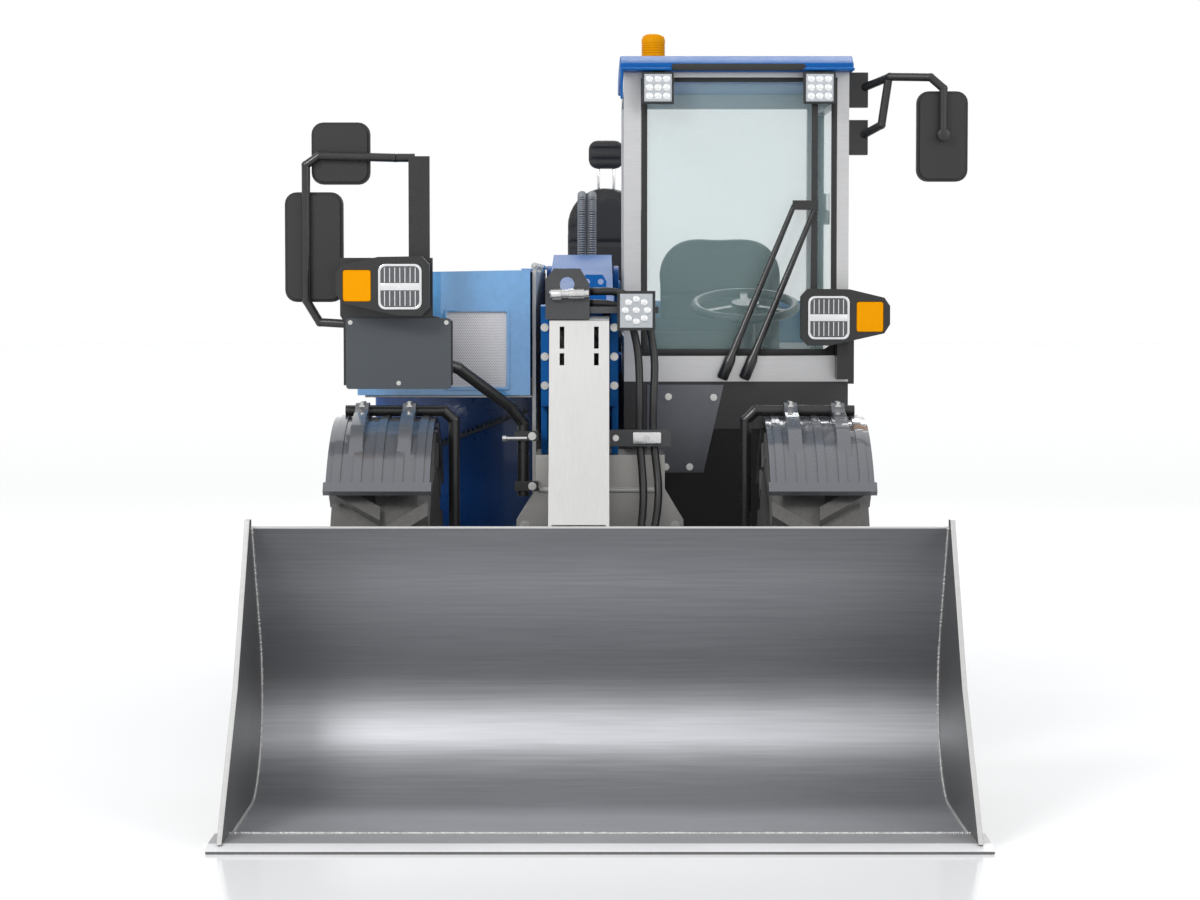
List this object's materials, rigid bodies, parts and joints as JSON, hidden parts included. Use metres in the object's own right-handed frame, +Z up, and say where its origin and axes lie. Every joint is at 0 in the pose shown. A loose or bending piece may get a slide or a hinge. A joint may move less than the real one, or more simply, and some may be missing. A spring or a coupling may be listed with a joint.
{
  "type": "telehandler",
  "caption": "Compact telescopic handler with a side cab, stainless loading bucket, telescoping boom, four-wheel steering, hinged bonnet and door, mirrors and work lamps.",
  "frame": {"origin": "on the ground under the middle of the box around the whole machine at rest", "axes": "+Z up, +X to the machine's left, -Y to its front where the bucket is"},
  "size_m": [2.152, 4.56, 2.306],
  "materials": {
    "bucket_steel": "brushed stainless plate",
    "edge_steel": "worn steel plate",
    "dark_metal": "dark grey paint",
    "chrome_rod": "hard chrome",
    "stainless": "brushed stainless",
    "black_plastic": "black plastic",
    "clear_lens": "clear lens",
    "hose_rubber": "black hose",
    "boom_blue": "blue paint",
    "dark_blue": "dark blue paint",
    "grey_plastic": "dark grey plastic",
    "red_lens": "red lens",
    "panel_grey": "dark grey panel",
    "glass": "tinted window glass",
    "seat_black": "black seat cover",
    "black_metal": "black paint",
    "amber_lens": "amber lens",
    "mirror": "mirror glass",
    "bonnet_blue": "bright blue paint",
    "grille_grey": "perforated light grey sheet",
    "guard_grey": "ribbed dark grey plastic",
    "rim_silver": "silver paint",
    "tyre": "rubber"
  },
  "bodies": {
    "chassis": {"chassis_frame": "stainless", "front_box": "stainless", "boom_rest": "boom_blue", "boom_tower": "boom_blue", "front_axle": "dark_metal", "rear_axle": "dark_metal", "engine_bay": "stainless", "engine": "dark_metal", "side_body": "dark_blue", "fuel_tank": "grey_plastic", "rear_body": "boom_blue", "counterweight": "dark_metal", "tail_lamps": "red_lens", "cab_base": "panel_grey", "cab_frame": "stainless", "cab_roof": "boom_blue", "cab_glass": "glass", "operator_seat": "seat_black", "steering_wheel": "black_plastic", "boom_hoses": "hose_rubber", "wiper": "black_metal", "roof_lamps": "black_plastic", "roof_lamp_lenses": "clear_lens", "beacon": "amber_lens", "carrier": "black_metal", "plate_holder": "grey_plastic", "headlamps": "black_plastic", "headlamp_lenses": "clear_lens", "indicators": "amber_lens", "mirrors": "black_plastic", "mirror_glass": "mirror"},
    "bonnet": {"bonnet": "bonnet_blue", "bonnet_grille": "grille_grey"},
    "door": {"door": "black_metal", "door_glass": "glass"},
    "boom_outer": {"boom_outer": "boom_blue"},
    "boom_inner": {"boom_inner": "stainless", "nose_bracket": "dark_metal", "nose_lamp": "black_plastic", "nose_lamp_lens": "clear_lens", "nose_hoses": "hose_rubber"},
    "bucket": {"bucket_shell": "bucket_steel", "cutting_edge": "edge_steel", "bucket_hitch": "dark_metal"},
    "tilt_rod": {"tilt_rod": "chrome_rod"},
    "tilt_barrel": {"tilt_barrel": "dark_metal"},
    "lift_rod": {"lift_rod": "chrome_rod"},
    "lift_barrel": {"lift_barrel": "dark_metal"},
    "knuckle_fl": {"knuckle_fl": "guard_grey"},
    "wheel_fl": {"wheel_rim_fl": "rim_silver", "tyre_fl": "tyre"},
    "knuckle_fr": {"knuckle_fr": "guard_grey"},
    "wheel_fr": {"wheel_rim_fr": "rim_silver", "tyre_fr": "tyre"},
    "knuckle_rl": {"knuckle_rl": "guard_grey"},
    "wheel_rl": {"wheel_rim_rl": "rim_silver", "tyre_rl": "tyre"},
    "knuckle_rr": {"knuckle_rr": "guard_grey"},
    "wheel_rr": {"wheel_rim_rr": "rim_silver", "tyre_rr": "tyre"}
  },
  "joints": [
    {"name": "boom_lift", "type": "hinge", "parent": "chassis", "child": "boom_outer", "pos_m": [-0.139, 1.17, 1.4], "axis": [-1, 0, 0], "range_deg": [0, 60]},
    {"name": "boom_extend", "type": "slide", "parent": "boom_outer", "child": "boom_inner", "axis": [0, -0.9945, -0.1045], "range_m": [0, 1.15]},
    {"name": "bucket_tilt", "type": "hinge", "parent": "boom_inner", "child": "bucket", "pos_m": [-0.139, -1.23, 0.25], "axis": [1, 0, 0], "range_deg": [-35, 90]},
    {"name": "tilt_rod_swing", "type": "hinge", "parent": "bucket", "child": "tilt_rod", "pos_m": [-0.139, -1.26505, 0.38554], "axis": [1, 0, 0], "range_deg": [-91, 36]},
    {"name": "tilt_barrel_slide", "type": "slide", "parent": "tilt_rod", "child": "tilt_barrel", "axis": [0, 0.788, 0.6157], "range_m": [-0.0715, 0.1815]},
    {"name": "lift_rod_swing", "type": "hinge", "parent": "boom_outer", "child": "lift_rod", "pos_m": [-0.139, 0.02, 1.068], "axis": [1, 0, 0], "range_deg": [-0.5, 20.39]},
    {"name": "lift_barrel_slide", "type": "slide", "parent": "lift_rod", "child": "lift_barrel", "axis": [0, 0.8394, -0.5435], "range_m": [-0.001, 0.8053]},
    {"name": "door_swing", "type": "hinge", "parent": "chassis", "child": "door", "pos_m": [0.728, 0.92, 1.4], "axis": [0, 0, 1], "range_deg": [0, 85]},
    {"name": "bonnet_lift", "type": "hinge", "parent": "chassis", "child": "bonnet", "pos_m": [-0.282, 0.42, 1.497], "axis": [0, 1, 0], "range_deg": [0, 60]},
    {"name": "steer_fl", "type": "hinge", "parent": "chassis", "child": "knuckle_fl", "pos_m": [0.464, -0.62, 0.495], "axis": [0, 0, 1], "range_deg": [-30, 30]},
    {"name": "steer_fr", "type": "hinge", "parent": "chassis", "child": "knuckle_fr", "pos_m": [-0.616, -0.62, 0.495], "axis": [0, 0, 1], "range_deg": [-30, 30]},
    {"name": "steer_rl", "type": "hinge", "parent": "chassis", "child": "knuckle_rl", "pos_m": [0.464, 1.53, 0.495], "axis": [0, 0, 1], "range_deg": [-30, 30]},
    {"name": "steer_rr", "type": "hinge", "parent": "chassis", "child": "knuckle_rr", "pos_m": [-0.616, 1.53, 0.495], "axis": [0, 0, 1], "range_deg": [-30, 30]},
    {"name": "spin_fl", "type": "hinge", "parent": "knuckle_fl", "child": "wheel_fl", "pos_m": [0.5765, -0.62, 0.495], "axis": [1, 0, 0], "continuous": true},
    {"name": "spin_fr", "type": "hinge", "parent": "knuckle_fr", "child": "wheel_fr", "pos_m": [-0.7285, -0.62, 0.495], "axis": [1, 0, 0], "continuous": true},
    {"name": "spin_rl", "type": "hinge", "parent": "knuckle_rl", "child": "wheel_rl", "pos_m": [0.5765, 1.53, 0.495], "axis": [1, 0, 0], "continuous": true},
    {"name": "spin_rr", "type": "hinge", "parent": "knuckle_rr", "child": "wheel_rr", "pos_m": [-0.7285, 1.53, 0.495], "axis": [1, 0, 0], "continuous": true}
  ],
  "couplings": [
    {"joint": "tilt_rod_swing", "follows": "bucket_tilt", "ratio": -1},
    {"joint": "tilt_barrel_slide", "follows": "bucket_tilt", "m_per_rad": 0.11459},
    {"joint": "lift_rod_swing", "follows": "boom_lift", "ratio": 0.33149},
    {"joint": "lift_barrel_slide", "follows": "boom_lift", "m_per_rad": 0.76711},
    {"joint": "steer_fr", "follows": "steer_fl", "ratio": 1},
    {"joint": "steer_rl", "follows": "steer_fl", "ratio": -1},
    {"joint": "steer_rr", "follows": "steer_fl", "ratio": -1}
  ]
}
